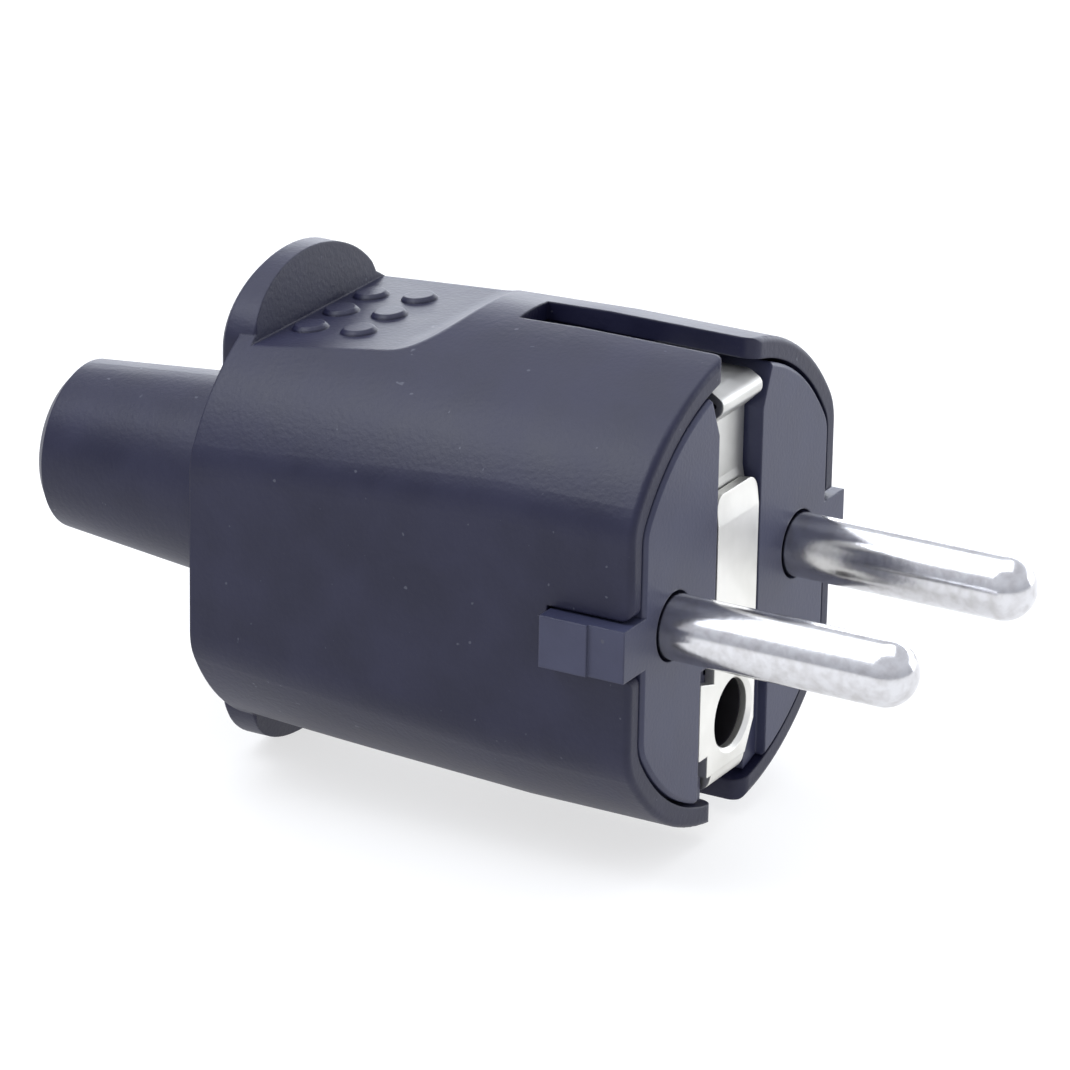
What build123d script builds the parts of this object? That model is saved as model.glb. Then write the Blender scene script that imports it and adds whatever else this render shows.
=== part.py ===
from build123d import *
import math
import os

# Two-pole earthed mains plug with a soft hood, in millimetres.
# X points forward along the pins, Y to the left pin, Z up.
# The origin is the centre of the plug's front face, midway between the pins.

# How far a cut runs past the face that it opens
overrun = 1.0

# Pins and the standard interface
pin_diameter = 4.8
pin_length = 19.0
pin_spacing = 19.0
pin_root_diameter = 4.4
pin_hole_gap = 0.2
earth_hole_diameter = 5.2
earth_hole_drop = 10.0

# Hood, the soft outer shell
hood_radius = 17.92
hood_rear_radius = 17.05
hood_straight = 12.0
hood_flat = 15.5
hood_front = -0.2
hood_rear = -36.4
hood_wall = 1.55
hood_side_wall = 1.35
hood_corner = 4.5
hood_edge_round = 0.5
hood_rear_wall = 2.4
hood_chamber_gap = 0.65

# Finger guards and grip recesses of the hood
guard_rise = 0.98
guard_arch = 5.5
guard_half_width = 8.9
guard_front = -35.0
guard_rear = -37.9
guard_lean = 12.0
guard_bevel = 0.3
guard_foot = 3.9
bead_radius = 0.3
bead_length = 16.2
grip_depth_rear = 3.62
grip_depth_front = 2.42
grip_floor_length = 10.5
grip_ramp_length = 4.1
grip_round = 0.8
bump_diameter = 2.7
bump_height = 0.35
bump_bevel = 0.25
bump_pitch_y = 4.3
bump_pitch_x = 4.1
bump_first = 1.9
bump_rows = 2
bump_columns = 3

# Earth grooves and ear notches of the hood
groove_width = 4.2
groove_mouth_round = 1.2
groove_length = 17.0
groove_floor = 12.0
notch_gap = 0.22
notch_round = 0.8

# Contact carrier, the hard insert with the plug face
carrier_gap = 0.3
carrier_thickness = 9.0
carrier_bevel = 0.25
ear_reach = 17.0
ear_half_height = 1.93
ear_length = 6.67
ear_step_from_front = 2.88
ear_step = 0.2
slot_width = 6.64
slot_wide_width = 10.5
slot_wide_top = -5.0
slot_depth = 4.2
slot_flare = 1.6
slot_flare_height = 3.0
counterbore_depth = 1.5
seat_gap = 0.03
head_gap = 0.1

# Terminal ends of the pins and the earth terminal
collar_diameter = 7.0
collar_thickness = 1.4
barrel_diameter = 6.0
barrel_inset = 0.4
wire_hole_diameter = 3.2
wire_hole_depth = 7.0
screw_diameter = 2.9
screw_place = 4.6
screw_head_diameter = 4.6
screw_head_height = 1.6
screw_slot = 0.8
screw_slot_depth = 0.9
screw_lift = 0.5
earth_terminal_z = 2.6
earth_spigot_diameter = 2.6
tongue_thickness = 0.6
tongue_length = 2.6
tongue_width = 2.0
tongue_drop = 0.5

# Folded earth metal
earth_contact_inset = 1.07
earth_leg_recess = 3.2
bar_width = 6.1
bar_thickness = 0.8
bar_proud = 0.0
bar_bend_z = 5.2
bar_top_z = 7.4
bar_lean = 0.25
bar_corner = 1.1
earth_leg_length = 9.0
fold_round = 1.1
fold_setback = 0.3
plate_far_edge = 3.2
plate_near_edge = 3.8
plate_taper_z = -11.4
plate_foot_edge = 2.0
plate_foot_z = -13.7
wing_reach = 5.1
wing_top_z = -6.1
wing_top_slant = 0.6
wing_bottom_z = -12.0
fold_height = 1.5
earth_hole_chamfer = 0.3
spring_thickness = 0.6
spring_width = 5.9
spring_back = 0.85
spring_lip_drop = 1.3
spring_lip_height = 0.5
spring_lip_x = 0.05
spring_lip_setback = 0.9
spring_slope = 1.4
spring_root_z = -5.8
spring_leg_length = 8.6
spring_round = 0.4
spring_start_drop = 0.4
spring_rise = 0.6
rivet_diameter = 1.8
rivet_head_diameter = 3.0
rivet_head_height = 0.4
rivet_z = -3.6

# Earth socket for the pin of a French outlet
sleeve_wall = 0.7
sleeve_length = 14.5
sleeve_slit = 0.9
sleeve_collar = 2.5
sleeve_bore_gap = 0.05

# Terminal housing behind the carrier
housing_gap = 0.1
housing_length = 10.0
chamber_gap = 0.1
screw_way_gap = 0.4
housing_screw_y = 4.9
housing_screw_z = 10.4
housing_screw_diameter = 2.5
housing_screw_length = 12.0
housing_head_diameter = 3.8
housing_head_height = 1.7

# Cord clamp behind the housing
cord_channel_radius = 4.4
clamp_width = 18.4
clamp_length = 7.5
clamp_standoff = 5.4
clamp_screw_edge = 2.4
clamp_screw_diameter = 2.9
clamp_head_diameter = 4.4
clamp_head_height = 1.7
clamp_bar_bottom = 1.4
clamp_bar_top = 6.2
clamp_bar_inset = 0.6
saddle_bottom = -7.6
saddle_top = -1.2
nut_side = 4.4
nut_height = 2.0
arm_inner = 4.4
arm_outer = 7.4
arm_thickness = 2.3
arm_insert = 3.0
arm_gap = 0.05

# Bend protection sleeve
bend_front_radius = 8.24
bend_end_radius = 6.4
bend_end = -56.0
bend_bore_radius = 5.0
bend_gap = 0.15
bend_flange_radius = 10.4
bend_flange_thickness = 1.6
bend_edge_bevel = 0.8

# Places worked out from the sizes above
face = 0.0
pin_y = pin_spacing / 2
bore_radius = hood_radius - hood_wall
earth_contact_radius = bore_radius - earth_contact_inset
slot_flare_z = earth_contact_radius - slot_flare_height
spring_lip_z = earth_contact_radius - spring_lip_drop
bore_flat = hood_flat - hood_side_wall
bore_corner = hood_corner - hood_side_wall
carrier_radius = bore_radius - carrier_gap
carrier_flat = bore_flat - carrier_gap
carrier_rear = face - carrier_thickness
guard_height = hood_radius + guard_rise
guard_shoulder = guard_height - guard_arch
grip_floor_rear = hood_radius - grip_depth_rear
grip_floor_front = hood_radius - grip_depth_front
grip_floor_end = guard_front + grip_floor_length
grip_front = grip_floor_end + grip_ramp_length
housing_rear = carrier_rear - housing_length
barrel_front = carrier_rear - collar_thickness
barrel_rear = housing_rear + barrel_inset
screw_x = barrel_front - screw_place
bar_front = face + bar_proud
bar_back = bar_front - bar_thickness
spring_root_back = bar_back - spring_thickness
leg_bottom = -earth_contact_radius
leg_slot = earth_contact_radius - earth_leg_recess
deep_slot_bottom = bar_bend_z - spring_start_drop - carrier_gap
sleeve_front = bar_back
sleeve_outer_radius = earth_hole_diameter / 2 + sleeve_wall
saddle_front = housing_rear - clamp_standoff
saddle_rear = saddle_front - clamp_length
clamp_screw_y = clamp_width / 2 - clamp_screw_edge
hood_chamber_radius = math.hypot(clamp_width / 2, saddle_bottom) + hood_chamber_gap
clamp_x = (saddle_front + saddle_rear) / 2
rear_wall_front = hood_rear + hood_rear_wall


def block(x, y, z):
    """A box from three pairs of limits."""
    size = [high - low for low, high in (x, y, z)]
    middle = [(high + low) / 2 for low, high in (x, y, z)]
    return Pos(*middle) * Box(*size)


def rod(radius, x_front, x_rear, y=0.0, z=0.0):
    """A round bar along X."""
    middle = (x_front + x_rear) / 2
    return Pos(middle, y, z) * Rot(0, 90, 0) * Cylinder(radius, x_front - x_rear)


def post(radius, z_low, z_high, x=0.0, y=0.0):
    """A round bar along Z."""
    return Pos(x, y, (z_low + z_high) / 2) * Cylinder(radius, z_high - z_low)


def flattened_circle(radius, flat, corner):
    """The plug's cross-section: a circle with two side flats and soft corners."""
    outline = Circle(radius) & Rectangle(2 * flat, 2 * radius + overrun)
    return fillet(outline.vertices(), corner)


def prism(section, x_front, x_rear):
    """A cross-section drawn in Y and Z, carried rearward along X."""
    return extrude(Plane.YZ.offset(x_front) * section, amount=x_front - x_rear, dir=(-1, 0, 0))


def folded(points, radius, thickness, width):
    """A sheet strip folded along a line through points in X and Z, its middle plane."""
    path = FilletPolyline(*[(x, 0, z) for x, z in points], radius=radius)
    start = Plane(origin=path @ 0, x_dir=(0, 1, 0), z_dir=path % 0)
    return sweep(start * Rectangle(width, thickness), path=path)


def mirrored(shape):
    """A shape and its mirror image below the pin line."""
    return shape + mirror(shape, Plane.XY)


def finger_guard():
    """The raised D-shaped stop at the hood's rear, with its face leaning back; top and bottom alike."""
    outline = Pos(0, guard_shoulder) * Ellipse(guard_half_width, guard_arch)
    upper = outline & Pos(0, guard_height) * Rectangle(3 * guard_half_width, 2 * guard_arch)
    upper = upper + Pos(0, guard_shoulder - guard_foot / 2) * Rectangle(2 * guard_half_width, guard_foot)
    guard = prism(upper, guard_front, guard_rear)
    half = guard_half_width
    tool = block((0, half), (-2 * half, 2 * half), (0, 2 * half))
    guard = guard - Pos(guard_front, 0, grip_floor_rear) * Rot(0, -guard_lean, 0) * tool
    curved = guard.edges().filter_by(GeomType.ELLIPSE)
    guard = chamfer(curved, guard_bevel)
    half = bead_length / 2
    bead = Rot(90, 0, 0) * Cylinder(bead_radius, bead_length)
    bead = bead + Pos(0, -half, 0) * Sphere(bead_radius) + Pos(0, half, 0) * Sphere(bead_radius)
    return mirrored(guard + Pos(guard_front, 0, grip_floor_rear + bead_radius / 2) * bead)


def grip_cut():
    """What is scooped out of the hood before each finger guard."""
    low = (guard_front, grip_floor_rear)
    bend = (grip_floor_end, grip_floor_front)
    crest = (grip_front, hood_radius)
    above = 2 * hood_radius
    back = guard_front - (above - grip_floor_rear) * math.tan(math.radians(guard_lean))
    floor = Line(low, bend)
    ramp = TangentArc(bend, crest, tangent=(grip_floor_length, grip_floor_front - grip_floor_rear))
    sides = Polyline(crest, (grip_front, above), (back, above), low)
    outline = make_face(Curve() + [floor, ramp] + sides.edges())
    return mirrored(extrude(Plane.XZ * outline, amount=hood_radius, both=True))


def grip_bumps():
    """Small round bumps on the grip floors, for the fingers."""
    slope = (grip_floor_front - grip_floor_rear) / grip_floor_length
    depth = bump_diameter / 2
    bump = Pos(0, 0, (bump_height - depth) / 2) * Cylinder(bump_diameter / 2, bump_height + depth)
    bump = chamfer(bump.edges().sort_by(Axis.Z)[-1], bump_bevel)
    bump = Rot(0, -math.degrees(math.atan(slope)), 0) * bump
    bumps = None
    for row in range(bump_rows):
        for column in range(bump_columns):
            along = bump_first + row * bump_pitch_x
            x = guard_front + along
            y = (column - (bump_columns - 1) / 2) * bump_pitch_y
            placed = Pos(x, y, grip_floor_rear + slope * along) * bump
            bumps = placed if bumps is None else bumps + placed
    return mirrored(bumps)


def flared_slot(half, length, corner):
    """A slot in X and Y, open at the hood's front, with rounded corners at its mouth."""
    end = face - length
    mouth = hood_front + overrun
    slot = Pos((end + mouth) / 2, 0) * Rectangle(mouth - end, 2 * half)
    start = hood_front - corner
    slot = slot + Pos((start + mouth) / 2, 0) * Rectangle(mouth - start, 2 * (half + corner))
    for side in (-1, 1):
        slot = slot - Pos(start, side * (half + corner)) * Circle(corner)
    return slot


def groove_cuts():
    """The open channels above the two side contacts."""
    slot = flared_slot(groove_width / 2, groove_length, groove_mouth_round)
    channel = Pos(0, 0, groove_floor) * extrude(slot, amount=hood_radius + overrun - groove_floor)
    return mirrored(channel)


def notch_cuts():
    """The gaps in the hood's side walls for the ears of the carrier."""
    slot = flared_slot(ear_half_height + notch_gap, ear_length + notch_gap, notch_round)
    inner = bore_flat - overrun
    right = Rot(90, 0, 0) * Pos(0, 0, inner) * extrude(slot, amount=hood_flat + overrun - inner)
    return right + mirror(right, Plane.XZ)


def make_hood():
    front = flattened_circle(hood_radius, hood_flat, hood_corner)
    rear = flattened_circle(hood_rear_radius, hood_flat, hood_corner)
    straight_end = face - hood_straight
    shell = prism(front, hood_front, straight_end)
    ends = [Plane.YZ.offset(straight_end) * front, Plane.YZ.offset(hood_rear) * rear]
    shell = shell + loft(ends, ruled=True)
    front_rim = shell.faces().sort_by(Axis.X)[-1].edges()
    shell = fillet(front_rim, hood_edge_round)
    scooped = shell - grip_cut()
    rims = [edge for edge in new_edges(shell, combined=scooped)
            if edge.geom_type == GeomType.BSPLINE and edge.center().X > guard_front]
    shell = fillet(rims, grip_round)
    shell = shell + finger_guard() + grip_bumps()
    bore = flattened_circle(bore_radius, bore_flat, bore_corner)
    shell = shell - prism(bore, hood_front + overrun, housing_rear)
    shell = shell - rod(hood_chamber_radius, housing_rear, rear_wall_front)
    shell = shell - rod(bend_front_radius + bend_gap, rear_wall_front, guard_rear - overrun)
    return shell - groove_cuts() - notch_cuts()


def make_carrier():
    section = flattened_circle(carrier_radius, carrier_flat, bore_corner - carrier_gap)
    carrier = prism(section, face, carrier_rear)
    carrier = chamfer(carrier.faces().sort_by(Axis.X)[-1].edges(), carrier_bevel)
    step_x = face - ear_step_from_front
    for side in (-1, 1):
        inner = side * (carrier_flat - 2 * carrier_bevel)
        outer = side * ear_reach
        front_outer = side * (ear_reach - ear_step)
        height = (-ear_half_height, ear_half_height)
        carrier = carrier + block((face - ear_length, step_x), sorted((inner, outer)), height)
        carrier = carrier + block((step_x, face), sorted((inner, front_outer)), height)
    half = slot_width / 2
    wide = slot_wide_width / 2
    edge = carrier_radius + overrun
    deep = block((face - slot_depth, face + overrun), (-half, half), (deep_slot_bottom, edge))
    middle = block((spring_root_back, face + overrun), (-half, half), (slot_wide_top, deep_slot_bottom))
    lower = block((bar_back, face + overrun), (-wide, wide), (-edge, slot_wide_top))
    root = block((spring_root_back, face + overrun), (-half, half),
                 (spring_root_z - carrier_gap, slot_wide_top))
    flare = Polyline((-half, slot_flare_z), (half, slot_flare_z), (half + slot_flare, carrier_radius),
                     (-half - slot_flare, carrier_radius), close=True)
    carrier = carrier - deep - middle - lower - root
    carrier = carrier - prism(make_face(flare), face + overrun, face - slot_depth)
    leg_way = block((carrier_rear, face), (-half, half), (leg_slot, edge))
    carrier = carrier - mirrored(leg_way)
    for y in (-pin_y, pin_y):
        carrier = carrier - rod(pin_root_diameter / 2 + seat_gap, face, carrier_rear, y)
        carrier = carrier - rod(pin_diameter / 2 + pin_hole_gap, face, face - counterbore_depth, y)
    carrier = carrier - rod(sleeve_outer_radius + sleeve_bore_gap, face, carrier_rear, 0, -earth_hole_drop)
    carrier = carrier - rod(earth_spigot_diameter / 2 + seat_gap, face, carrier_rear, 0, earth_terminal_z)
    tail = spring_root_back - rivet_head_height
    carrier = carrier - rod(rivet_head_diameter / 2 + head_gap, face, tail - head_gap, 0, rivet_z)
    for y in (-housing_screw_y, housing_screw_y):
        hole = housing_screw_diameter / 2 + seat_gap
        depth = housing_rear + housing_head_height + housing_screw_length + head_gap
        carrier = carrier - rod(hole, depth, carrier_rear, y, housing_screw_z)
    return carrier


def taper(radius_front, radius_rear, x_front, x_rear, y=0.0, z=0.0):
    """A round bar along X that narrows to the rear."""
    middle = (x_front + x_rear) / 2
    return Pos(middle, y, z) * Rot(0, 90, 0) * Cone(radius_rear, radius_front, x_front - x_rear)


def clamp_screw_hole(y, z_base):
    """The threaded cross hole of a terminal, from its axis out through the top."""
    return post(screw_diameter / 2 + seat_gap, z_base, z_base + barrel_diameter, screw_x, y)


def make_pin(side):
    """One turned pin: round-ended contact, neck in the carrier, collar and hollow terminal barrel."""
    y = side * pin_y
    radius = pin_diameter / 2
    tip = face + pin_length - radius
    pin = rod(radius, tip, face, y) + Pos(tip, y, 0) * Sphere(radius)
    pin = pin + rod(pin_root_diameter / 2, face, carrier_rear, y)
    pin = pin + rod(collar_diameter / 2, carrier_rear, barrel_front, y)
    pin = pin + rod(barrel_diameter / 2, barrel_front, barrel_rear, y)
    pin = pin - rod(wire_hole_diameter / 2, barrel_rear + wire_hole_depth, barrel_rear, y)
    return pin - clamp_screw_hole(y, 0)


def make_earth_terminal():
    z = earth_terminal_z
    post_part = rod(earth_spigot_diameter / 2, bar_back, carrier_rear, 0, z)
    body = rod(barrel_diameter / 2, carrier_rear, barrel_rear, 0, z)
    body = body - rod(wire_hole_diameter / 2, barrel_rear + wire_hole_depth, barrel_rear, 0, z)
    return post_part + body - clamp_screw_hole(0, z)


def driver_slot(head_diameter, top, x, y):
    """The cut across a screw head that stands along Z."""
    half = screw_slot / 2
    return block((x - half, x + half), (y - head_diameter, y + head_diameter),
                 (top - screw_slot_depth, top + overrun))


def terminal_screw(y, z_axis):
    """A slotted cheese-head screw standing on its pressure plate inside a barrel."""
    foot = z_axis - tongue_drop + tongue_thickness
    head = z_axis + barrel_diameter / 2 + screw_lift
    screw = post(screw_diameter / 2, foot, head, screw_x, y)
    screw = screw + post(screw_head_diameter / 2, head, head + screw_head_height, screw_x, y)
    return screw - driver_slot(screw_head_diameter, head + screw_head_height, screw_x, y)


def pressure_plate(y, z_axis):
    """The small tongue between screw and wire."""
    foot = z_axis - tongue_drop
    along = (screw_x - tongue_length / 2, screw_x + tongue_length / 2)
    return block(along, (y - tongue_width / 2, y + tongue_width / 2), (foot, foot + tongue_thickness))


def rivet_head():
    """The countersunk front head of the rivet, flush with the bar."""
    rear = bar_front - rivet_head_height
    return taper(rivet_head_diameter / 2, rivet_diameter / 2, bar_front, rear, 0, rivet_z)


def make_earth_bridge():
    """One sheet: bottom side contact, plate with the earth hole, and the bar up the face."""
    half = bar_thickness / 2
    middle = bar_front - half
    fold_x = face - fold_setback - half
    foot_z = leg_bottom + half
    points = [(face - earth_leg_length, foot_z), (fold_x, foot_z), (middle, foot_z + fold_height),
              (middle, bar_bend_z), (middle - bar_lean, bar_top_z)]
    bridge = folded(points, fold_round, bar_thickness, bar_width)
    corners = bridge.faces().sort_by(Axis.Z)[-1].edges().sort_by(SortBy.LENGTH)[:2]
    bridge = fillet(corners, bar_corner)
    plate = Polyline((-wing_reach, wing_top_z), (-wing_reach, wing_bottom_z),
                     (-plate_near_edge, wing_bottom_z), (-plate_near_edge, plate_foot_z),
                     (plate_foot_edge, plate_foot_z),
                     (plate_far_edge, plate_taper_z), (plate_far_edge, wing_top_z - wing_top_slant),
                     (-bar_width / 2, wing_top_z - wing_top_slant), close=True)
    bridge = bridge + extrude(Plane.YZ.offset(bar_back) * make_face(plate), amount=bar_thickness)
    low = leg_bottom - overrun
    beside = plate_far_edge + overrun
    corner = Polyline((plate_far_edge, plate_taper_z), (plate_foot_edge, plate_foot_z),
                      (plate_foot_edge, low), (beside, low), (beside, plate_taper_z), close=True)
    rear = bar_back - overrun
    bridge = bridge - extrude(Plane.YZ.offset(rear) * make_face(corner), amount=bar_front + overrun - rear)
    bridge = bridge - rod(earth_hole_diameter / 2, bar_front + overrun, rear, 0, -earth_hole_drop)
    hole = earth_hole_diameter / 2
    rim_end = bar_front - earth_hole_chamfer
    rim = taper(hole + earth_hole_chamfer, hole, bar_front, rim_end, 0, -earth_hole_drop)
    tube = sleeve_outer_radius + sleeve_bore_gap
    bridge = bridge - rim - rod(tube, sleeve_front, carrier_rear, 0, -earth_hole_drop)
    return bridge - rod(rivet_diameter / 2, bar_front + overrun, rear, 0, rivet_z) - rivet_head()


def make_earth_spring():
    """The upper side contact: a bowed strip riveted behind the bar, its leg running under the groove."""
    half = spring_thickness / 2
    root = bar_back - half
    deep = bar_back - spring_back
    lip = spring_lip_x - half
    lip_top = spring_lip_z + spring_lip_height
    leg_z = earth_contact_radius - half
    points = [(root, spring_root_z), (root, bar_bend_z - spring_start_drop), (deep, bar_top_z + spring_rise),
              (deep, spring_lip_z - spring_slope), (lip, spring_lip_z), (lip, lip_top),
              (lip - spring_lip_setback, leg_z), (face - spring_leg_length, leg_z)]
    spring = folded(points, spring_round, spring_thickness, spring_width)
    rear = spring_root_back - overrun
    spring = spring - rod(earth_spigot_diameter / 2 + seat_gap, bar_back + overrun, rear, 0, earth_terminal_z)
    return spring - rod(rivet_diameter / 2, bar_back + overrun, rear, 0, rivet_z)


def make_earth_rivet():
    shank = rod(rivet_diameter / 2, bar_front, spring_root_back, 0, rivet_z)
    rear = rod(rivet_head_diameter / 2, spring_root_back, spring_root_back - rivet_head_height, 0, rivet_z)
    return shank + rivet_head() + rear


def make_earth_socket():
    """The slit tube behind the plate that grips the outlet's earth pin."""
    z = -earth_hole_drop
    rear = sleeve_front - sleeve_length
    tube = rod(sleeve_outer_radius, sleeve_front, rear, 0, z)
    tube = tube - rod(earth_hole_diameter / 2, sleeve_front, rear, 0, z)
    above = z + 2 * sleeve_outer_radius
    slit = block((rear, sleeve_front - sleeve_collar), (-sleeve_slit / 2, sleeve_slit / 2), (z, above))
    return tube - slit


def make_terminal_housing():
    """The hard rear half of the insert, with one chamber for each terminal."""
    section = flattened_circle(bore_radius - housing_gap, bore_flat - housing_gap, bore_corner - housing_gap)
    housing = prism(section, carrier_rear, housing_rear)
    way = screw_head_diameter / 2 + screw_way_gap
    for y, z in ((-pin_y, 0), (pin_y, 0), (0, earth_terminal_z)):
        housing = housing - rod(collar_diameter / 2 + chamber_gap, carrier_rear, barrel_front, y, z)
        housing = housing - rod(barrel_diameter / 2 + chamber_gap, carrier_rear, housing_rear, y, z)
        housing = housing - block((screw_x - way, screw_x + way), (y - way, y + way), (z, bore_radius))
    tube = sleeve_outer_radius + sleeve_bore_gap
    housing = housing - rod(tube, carrier_rear, sleeve_front - sleeve_length, 0, -earth_hole_drop)
    for y in (-housing_screw_y, housing_screw_y):
        hole = housing_screw_diameter / 2 + seat_gap
        housing = housing - rod(hole, carrier_rear, housing_rear, y, housing_screw_z)
        top = housing_rear + housing_head_height
        housing = housing - rod(housing_head_diameter / 2 + head_gap, top, housing_rear, y, housing_screw_z)
    return housing - clamp_arms(arm_gap)


def housing_screw(y):
    """A long screw that draws the housing onto the carrier."""
    top = housing_rear + housing_head_height
    head = rod(housing_head_diameter / 2, top, housing_rear, y, housing_screw_z)
    shank = rod(housing_screw_diameter / 2, top + housing_screw_length, top, y, housing_screw_z)
    across = (y - housing_head_diameter, y + housing_head_diameter)
    height = (housing_screw_z - screw_slot / 2, housing_screw_z + screw_slot / 2)
    cut = block((housing_rear - overrun, housing_rear + screw_slot_depth), across, height)
    return head + shank - cut


def clamp_places():
    return (-clamp_screw_y, clamp_screw_y)


def clamp_arms(gap=0.0):
    """The two arms that join the saddle to the housing, or with a gap the pockets they push into."""
    low = saddle_bottom - gap
    high = saddle_bottom + arm_thickness + gap
    front = housing_rear + arm_insert
    right = block((saddle_rear, front), (arm_inner - gap, arm_outer + gap), (low, high))
    return right + mirror(right, Plane.XZ)


def make_clamp_saddle():
    """The lower jaw of the cord clamp, held behind the housing by two arms."""
    half = clamp_width / 2
    saddle = block((saddle_rear, saddle_front), (-half, half), (saddle_bottom, saddle_top))
    saddle = saddle - rod(cord_channel_radius, saddle_front, saddle_rear)
    saddle = saddle + clamp_arms()
    for y in clamp_places():
        saddle = saddle - post(clamp_screw_diameter / 2 + seat_gap, saddle_bottom, saddle_top, clamp_x, y)
        side = nut_side / 2 + arm_gap
        saddle = saddle - block((clamp_x - side, clamp_x + side), (y - side, y + side),
                                (saddle_bottom, saddle_bottom + nut_height))
    return saddle


def make_clamp_bar():
    """The upper jaw, pressed down by the two clamp screws."""
    half = clamp_width / 2
    span = (saddle_rear + clamp_bar_inset, saddle_front - clamp_bar_inset)
    bar = block(span, (-half, half), (clamp_bar_bottom, clamp_bar_top))
    bar = bar - rod(cord_channel_radius, saddle_front, saddle_rear)
    for y in clamp_places():
        bar = bar - post(clamp_screw_diameter / 2 + seat_gap, clamp_bar_bottom, clamp_bar_top, clamp_x, y)
    return bar


def clamp_screw(y):
    head_top = clamp_bar_top + clamp_head_height
    screw = post(clamp_screw_diameter / 2, saddle_bottom, clamp_bar_top, clamp_x, y)
    screw = screw + post(clamp_head_diameter / 2, clamp_bar_top, head_top, clamp_x, y)
    return screw - driver_slot(clamp_head_diameter, head_top, clamp_x, y)


def clamp_nut(y):
    side = nut_side / 2
    nut = block((clamp_x - side, clamp_x + side), (y - side, y + side),
                (saddle_bottom, saddle_bottom + nut_height))
    return nut - post(clamp_screw_diameter / 2, saddle_bottom, saddle_bottom + nut_height, clamp_x, y)


def make_bend_sleeve():
    """The soft cone that keeps a cord from kinking, with a flange trapped inside the hood."""
    flange_front = rear_wall_front + bend_flange_thickness
    outline = make_face(Polyline(
        (flange_front, bend_bore_radius), (flange_front, bend_flange_radius),
        (rear_wall_front, bend_flange_radius), (rear_wall_front, bend_front_radius),
        (hood_rear, bend_front_radius), (bend_end, bend_end_radius),
        (bend_end, bend_bore_radius), (flange_front, bend_bore_radius)))
    sleeve = revolve(Plane.XZ * outline, Axis.X)
    end = sleeve.faces().sort_by(Axis.X)[0].edges().sort_by(SortBy.RADIUS)[-1]
    return chamfer(end, bend_edge_bevel)


def write(name, *solids):
    """Writes one sub-part, as one solid or a group of like solids."""
    shape = solids[0] if len(solids) == 1 else Compound(children=list(solids))
    export_step(shape, os.path.join("parts", name + ".step"))


os.makedirs("parts", exist_ok=True)
write("hood", make_hood())
write("bend_sleeve", make_bend_sleeve())
write("contact_carrier", make_carrier())
write("terminal_housing", make_terminal_housing())
write("line_pin", make_pin(-1))
write("neutral_pin", make_pin(1))
write("pin_clamp_screws", *[terminal_screw(y, 0) for y in (-pin_y, pin_y)])
write("pressure_plates",
      *[pressure_plate(y, z) for y, z in ((-pin_y, 0), (pin_y, 0), (0, earth_terminal_z))])
write("earth_bridge", make_earth_bridge())
write("earth_spring", make_earth_spring())
write("earth_rivet", make_earth_rivet())
write("earth_socket_tube", make_earth_socket())
write("earth_terminal", make_earth_terminal())
write("earth_clamp_screw", terminal_screw(0, earth_terminal_z))
write("housing_screws", *[housing_screw(y) for y in (-housing_screw_y, housing_screw_y)])
write("cord_clamp_saddle", make_clamp_saddle())
write("cord_clamp_bar", make_clamp_bar())
write("cord_clamp_screws", *[clamp_screw(y) for y in clamp_places()])
write("cord_clamp_nuts", *[clamp_nut(y) for y in clamp_places()])
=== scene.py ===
import math

import bpy
from mathutils import Matrix, Vector


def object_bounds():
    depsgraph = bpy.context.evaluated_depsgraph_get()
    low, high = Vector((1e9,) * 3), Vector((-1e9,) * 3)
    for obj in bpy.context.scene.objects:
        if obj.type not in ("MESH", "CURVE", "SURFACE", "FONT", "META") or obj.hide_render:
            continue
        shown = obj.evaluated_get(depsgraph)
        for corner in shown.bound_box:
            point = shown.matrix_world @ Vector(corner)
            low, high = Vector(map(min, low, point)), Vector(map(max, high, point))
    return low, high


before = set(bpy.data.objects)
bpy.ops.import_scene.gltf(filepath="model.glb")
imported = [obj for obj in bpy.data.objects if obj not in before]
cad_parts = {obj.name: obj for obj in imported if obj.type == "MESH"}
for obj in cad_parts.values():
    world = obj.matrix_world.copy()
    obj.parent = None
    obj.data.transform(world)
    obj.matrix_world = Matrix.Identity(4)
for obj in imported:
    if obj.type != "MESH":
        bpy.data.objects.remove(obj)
cad_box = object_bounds()

# The camera, as seen from the plug: degrees round from the pins' axis, up from it and of roll, metres of
# distance and shift, and millimetres of film and lens
CAMERA_AZIMUTH = 60.88
CAMERA_ELEVATION = 20.92
CAMERA_ROLL = 1.01
CAMERA_DISTANCE = 0.45
CAMERA_SHIFT_RIGHT = 0.014423
CAMERA_SHIFT_UP = -0.003502
CAMERA_NEAR = 0.01
SENSOR = 36.0
LENS = 212.0

# Colours, linear
RUBBER_DARK = (0.0075, 0.0080, 0.0280, 1.0)
RUBBER_LIGHT = (0.0130, 0.0135, 0.0380, 1.0)
PLASTIC_DARK = (0.0310, 0.0335, 0.0690, 1.0)
PLASTIC_LIGHT = (0.0400, 0.0435, 0.0840, 1.0)
SPECK = (0.0550, 0.0580, 0.0850, 1.0)
NICKEL = (0.68, 0.68, 0.70, 1.0)
NICKEL_DULL = (0.56, 0.55, 0.56, 1.0)
STRIP = (0.84, 0.83, 0.79, 1.0)
STRIP_DULL = (0.72, 0.71, 0.67, 1.0)
SPRING = (0.66, 0.655, 0.63, 1.0)
SPRING_DULL = (0.54, 0.535, 0.51, 1.0)
# Painted shade: a near-black colour for the earth socket tube, which stands in for the shade inside the
# earth hole
TUBE_PAINTED_SHADE = (0.080, 0.075, 0.085, 1.0)
TUBE_PAINTED_SHADE_DULL = (0.050, 0.048, 0.060, 1.0)
ZINC = (0.60, 0.60, 0.58, 1.0)
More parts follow.
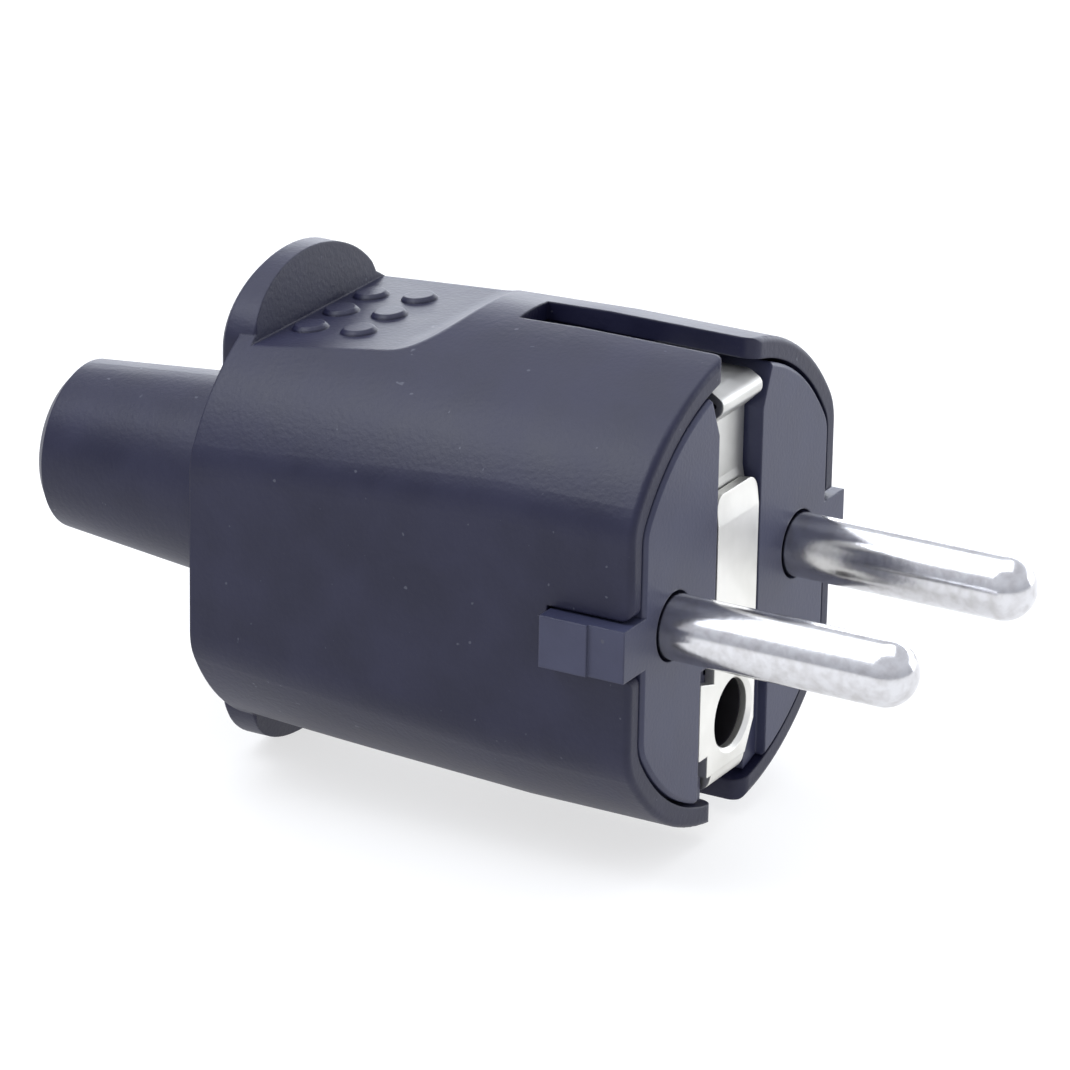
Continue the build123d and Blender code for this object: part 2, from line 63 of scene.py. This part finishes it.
ZINC_DULL = (0.42, 0.42, 0.41, 1.0)
PAPER = (0.33, 0.33, 0.33, 1.0)
PAPER_FIBRE = (0.35, 0.35, 0.35, 1.0)
BLACK = (0.0, 0.0, 0.0, 1.0)
WHITE = (1.0, 1.0, 1.0, 1.0)

# Edges softened by the moulding and the tumbling, in metres
MOULDED_EDGE = 0.00022
METAL_EDGE = 0.00012
EDGE_SAMPLES = 6

# Moulded finish: patterns in cells to the metre, relief heights in metres
MOTTLE_SCALE = 220.0
MOTTLE_DETAIL = 4.0
RIPPLE_SCALE = 260.0
RIPPLE_STRENGTH = 0.25
RIPPLE_HEIGHT = 0.00008
GRAIN_HEIGHT = 0.00004
SPECK_SCALE = 1500.0
SPECK_FROM = 0.76
SPECK_FULL = 0.80
SHEEN_CHANGE = 0.06

# Plated finish, in the same units
DRAWN_SCALE = 900.0
DRAWN_STRENGTH = 0.12
DRAWN_HEIGHT = 0.00002
DENT_SCALE = 420.0
DENT_STRENGTH = 0.10
DENT_HEIGHT = 0.00006
FROST_SCALE = 2400.0
FROST_HEIGHT = 0.00004
DULL_UP_TO = 0.3
BRIGHT_FROM = 0.6
POLISHED = 0.05
WORN = 0.09

# The light table under the plug
FLOOR_HALF = 4.0
FLOOR_CLEARANCE = 0.0001
FLOOR_ROUGHNESS = 0.9
PAPER_SCALE = 40.0
TABLE_GLOW = 0.66

# Light: the room, and softboxes by name, place and size in metres, and power in watts
ROOM_TOP = (0.91, 0.93, 1.0, 1.0)
ROOM_HORIZON = (0.60, 0.62, 0.68, 1.0)
ROOM_TOP_FROM = 0.5
ROOM_LIGHT = 0.88
SOFTBOX_COLOUR = (0.90, 0.94, 1.0)
SOFTBOX_TARGET = (-0.02, 0.0, 0.0)
SOFTBOXES = (
    ("softbox_above", (-0.10, 0.12, 0.55), (0.55, 0.55), 2.1),
    ("softbox_left", (-0.38, -0.30, 0.58), (0.34, 0.34), 1.7),
    ("softbox_behind", (-0.17, 0.42, 0.10), (0.60, 0.16), 1.4),
    ("softbox_right", (0.32, 0.50, 0.12), (0.40, 0.24), 0.9),
    ("softbox_near", (-0.125, -0.095, 0.210), (0.07, 0.07), 0.10),
)


def camera_axes():
    """The picture's right and up, and the way from the plug to the camera."""
    azimuth = math.radians(CAMERA_AZIMUTH)
    elevation = math.radians(CAMERA_ELEVATION)
    roll = math.radians(CAMERA_ROLL)
    back = Vector((math.cos(elevation) * math.cos(azimuth), -math.cos(elevation) * math.sin(azimuth),
                   math.sin(elevation)))
    level = Vector((0.0, 0.0, 1.0)).cross(back).normalized()
    above = back.cross(level)
    right = level * math.cos(roll) + above * math.sin(roll)
    up = above * math.cos(roll) - level * math.sin(roll)
    return right, up, back


def add_camera():
    """The camera, at the photograph's angle and distance."""
    right, up, back = camera_axes()
    place = back * CAMERA_DISTANCE - right * CAMERA_SHIFT_RIGHT - up * CAMERA_SHIFT_UP
    data = bpy.data.cameras.new("camera")
    data.sensor_width = SENSOR
    data.lens = LENS
    data.clip_start = CAMERA_NEAR
    camera = bpy.data.objects.new("camera", data)
    turn = Matrix((right, up, back)).transposed().to_4x4()
    camera.matrix_world = Matrix.Translation(place) @ turn
    bpy.context.scene.collection.objects.link(camera)
    bpy.context.scene.camera = camera


def new_material(name):
    """An empty node material and its surface shader."""
    material = bpy.data.materials.new(name)
    material.use_nodes = True
    tree = material.node_tree
    return material, tree, tree.nodes["Principled BSDF"]


def object_noise(tree, scale, detail, stretch=(1.0, 1.0, 1.0)):
    """Noise in the object's own coordinates."""
    place = tree.nodes.new("ShaderNodeTexCoord")
    mapping = tree.nodes.new("ShaderNodeMapping")
    mapping.inputs["Scale"].default_value = stretch
    noise = tree.nodes.new("ShaderNodeTexNoise")
    noise.inputs["Scale"].default_value = scale
    noise.inputs["Detail"].default_value = detail
    tree.links.new(place.outputs["Object"], mapping.inputs["Vector"])
    tree.links.new(mapping.outputs["Vector"], noise.inputs["Vector"])
    return noise.outputs["Fac"]


def blend_colours(tree, factor, low, high, start=0.35, end=0.65):
    """A colour that runs from low to high as the factor goes from start to end."""
    ramp = tree.nodes.new("ShaderNodeValToRGB")
    ramp.color_ramp.elements[0].position = start
    ramp.color_ramp.elements[0].color = low
    ramp.color_ramp.elements[1].position = end
    ramp.color_ramp.elements[1].color = high
    tree.links.new(factor, ramp.inputs["Fac"])
    return ramp.outputs["Color"]


def lay_over(tree, base, top, factor, start, end):
    """One colour laid over another where the factor passes from start to end."""
    mask = blend_colours(tree, factor, BLACK, WHITE, start, end)
    mix = tree.nodes.new("ShaderNodeMixRGB")
    mix.inputs["Color2"].default_value = top
    tree.links.new(mask, mix.inputs["Fac"])
    tree.links.new(base, mix.inputs["Color1"])
    return mix.outputs["Color"]


def spread(tree, factor, low, high):
    """A number that runs from low to high with the factor."""
    change = tree.nodes.new("ShaderNodeMapRange")
    change.inputs["To Min"].default_value = low
    change.inputs["To Max"].default_value = high
    tree.links.new(factor, change.inputs["Value"])
    return change.outputs["Result"]


def soft_edges(tree, radius):
    """A surface direction that is rounded over the piece's sharp edges."""
    node = tree.nodes.new("ShaderNodeBevel")
    node.samples = EDGE_SAMPLES
    node.inputs["Radius"].default_value = radius
    return node.outputs["Normal"]


def relief(tree, height, strength, distance, under):
    """A relief from a pattern's height, laid over another surface direction."""
    node = tree.nodes.new("ShaderNodeBump")
    node.inputs["Strength"].default_value = strength
    node.inputs["Distance"].default_value = distance
    tree.links.new(height, node.inputs["Height"])
    tree.links.new(under, node.inputs["Normal"])
    return node.outputs["Normal"]


def moulded(name, dark, light, roughness, grain, grain_depth, specular):
    """Moulded rubber or plastic: mottling, dust specks, uneven sheen, ripples and an eroded-mould grain."""
    material, tree, shader = new_material(name)
    mottle = object_noise(tree, MOTTLE_SCALE, MOTTLE_DETAIL)
    ripples = object_noise(tree, RIPPLE_SCALE, detail=2.0)
    fine = object_noise(tree, grain, detail=2.0)
    dust = object_noise(tree, SPECK_SCALE, detail=1.0)
    colour = blend_colours(tree, mottle, dark, light)
    colour = lay_over(tree, colour, SPECK, dust, SPECK_FROM, SPECK_FULL)
    sheen = spread(tree, mottle, roughness - SHEEN_CHANGE, roughness + SHEEN_CHANGE)
    surface = soft_edges(tree, MOULDED_EDGE)
    surface = relief(tree, ripples, RIPPLE_STRENGTH, RIPPLE_HEIGHT, surface)
    surface = relief(tree, fine, grain_depth, GRAIN_HEIGHT, surface)
    tree.links.new(colour, shader.inputs["Base Color"])
    tree.links.new(sheen, shader.inputs["Roughness"])
    tree.links.new(surface, shader.inputs["Normal"])
    shader.inputs["Specular IOR Level"].default_value = specular
    return material


def plated(name, bright, dull, roughness, stretch, frost=0.12, patches=180.0):
    """Plated metal: cloudy patches, small dents, lines drawn along it and a frosted grain."""
    material, tree, shader = new_material(name)
    clouds = object_noise(tree, patches, detail=3.0)
    lines = object_noise(tree, DRAWN_SCALE, 3.0, stretch)
    dents = object_noise(tree, DENT_SCALE, detail=1.0)
    grain = object_noise(tree, FROST_SCALE, detail=2.0)
    colour = blend_colours(tree, clouds, dull, bright, DULL_UP_TO, BRIGHT_FROM)
    sheen = spread(tree, lines, roughness - POLISHED, roughness + WORN)
    surface = soft_edges(tree, METAL_EDGE)
    surface = relief(tree, dents, DENT_STRENGTH, DENT_HEIGHT, surface)
    surface = relief(tree, lines, DRAWN_STRENGTH, DRAWN_HEIGHT, surface)
    surface = relief(tree, grain, frost, FROST_HEIGHT, surface)
    tree.links.new(colour, shader.inputs["Base Color"])
    tree.links.new(sheen, shader.inputs["Roughness"])
    tree.links.new(surface, shader.inputs["Normal"])
    shader.inputs["Metallic"].default_value = 1.0
    return material


def paint(material, *nodes):
    """Gives the named sub-parts a finish."""
    for node in nodes:
        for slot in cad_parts[node].material_slots:
            slot.material = material


def add_room():
    """Soft light from the room around, brighter overhead than at the horizon."""
    world = bpy.data.worlds.new("studio")
    world.use_nodes = True
    tree = world.node_tree
    background = tree.nodes["Background"]
    direction = tree.nodes.new("ShaderNodeTexCoord")
    parts = tree.nodes.new("ShaderNodeSeparateXYZ")
    tree.links.new(direction.outputs["Generated"], parts.inputs["Vector"])
    glow = blend_colours(tree, parts.outputs["Z"], ROOM_HORIZON, ROOM_TOP, 0.0, ROOM_TOP_FROM)
    tree.links.new(glow, background.inputs["Color"])
    background.inputs["Strength"].default_value = ROOM_LIGHT
    bpy.context.scene.world = world


def add_floor(height):
    """A plain pale light table under the plug."""
    half = FLOOR_HALF
    corners = [(-half, -half, height), (half, -half, height), (half, half, height), (-half, half, height)]
    mesh = bpy.data.meshes.new("floor")
    mesh.from_pydata(corners, [], [(0, 1, 2, 3)])
    floor = bpy.data.objects.new("floor", mesh)
    bpy.context.scene.collection.objects.link(floor)
    material, tree, shader = new_material("floor_paper")
    fibres = object_noise(tree, PAPER_SCALE, detail=3.0)
    tree.links.new(blend_colours(tree, fibres, PAPER, PAPER_FIBRE), shader.inputs["Base Color"])
    shader.inputs["Roughness"].default_value = FLOOR_ROUGHNESS
    shader.inputs["Emission Color"].default_value = WHITE
    shader.inputs["Emission Strength"].default_value = TABLE_GLOW
    mesh.materials.append(material)


def add_softbox(name, place, size, power):
    """A flat studio lamp that faces the plug."""
    data = bpy.data.lights.new(name, "AREA")
    data.shape = "RECTANGLE"
    data.size, data.size_y = size
    data.energy = power
    data.color = SOFTBOX_COLOUR
    light = bpy.data.objects.new(name, data)
    toward = Vector(SOFTBOX_TARGET) - Vector(place)
    light.rotation_euler = toward.to_track_quat("-Z", "Y").to_euler()
    light.location = place
    bpy.context.scene.collection.objects.link(light)


add_camera()

soft_rubber = moulded("soft_rubber", RUBBER_DARK, RUBBER_LIGHT,
                      roughness=0.46, grain=2600.0, grain_depth=0.6, specular=0.35)
hard_plastic = moulded("hard_plastic", PLASTIC_DARK, PLASTIC_LIGHT,
                       roughness=0.42, grain=3200.0, grain_depth=0.4, specular=0.4)
pin_nickel = plated("pin_nickel", NICKEL, NICKEL_DULL,
                    roughness=0.16, stretch=(0.06, 1.0, 1.0), frost=0.13, patches=1100.0)
strip_nickel = plated("strip_nickel", STRIP, STRIP_DULL, roughness=0.40, stretch=(1.0, 1.0, 0.08))
spring_nickel = plated("spring_nickel", SPRING, SPRING_DULL, roughness=0.40, stretch=(1.0, 1.0, 0.08))
# Painted shade: the earth socket tube's metal is darkened to stand in for the shade inside the earth hole
socket_painted_shade = plated("socket_painted_shade", TUBE_PAINTED_SHADE, TUBE_PAINTED_SHADE_DULL, roughness=0.45, stretch=(0.1, 1.0, 1.0))
screw_zinc = plated("screw_zinc", ZINC, ZINC_DULL, roughness=0.3, stretch=(1.0, 1.0, 1.0))

paint(soft_rubber, "hood", "bend_sleeve")
paint(hard_plastic, "contact_carrier", "terminal_housing", "cord_clamp_saddle", "cord_clamp_bar")
paint(pin_nickel, "line_pin", "neutral_pin", "earth_terminal")
paint(strip_nickel, "earth_bridge", "earth_rivet")
paint(spring_nickel, "earth_spring")
# The earth socket tube gets the painted shade of the earth hole
paint(socket_painted_shade, "earth_socket_tube")
paint(screw_zinc, "pin_clamp_screws", "pressure_plates", "earth_clamp_screw", "housing_screws",
      "cord_clamp_screws", "cord_clamp_nuts")

add_room()
add_floor(cad_box[0][2] - FLOOR_CLEARANCE)
for name, place, size, power in SOFTBOXES:
    add_softbox(name, place, size, power)
bpy.context.scene.view_settings.view_transform = "Standard"
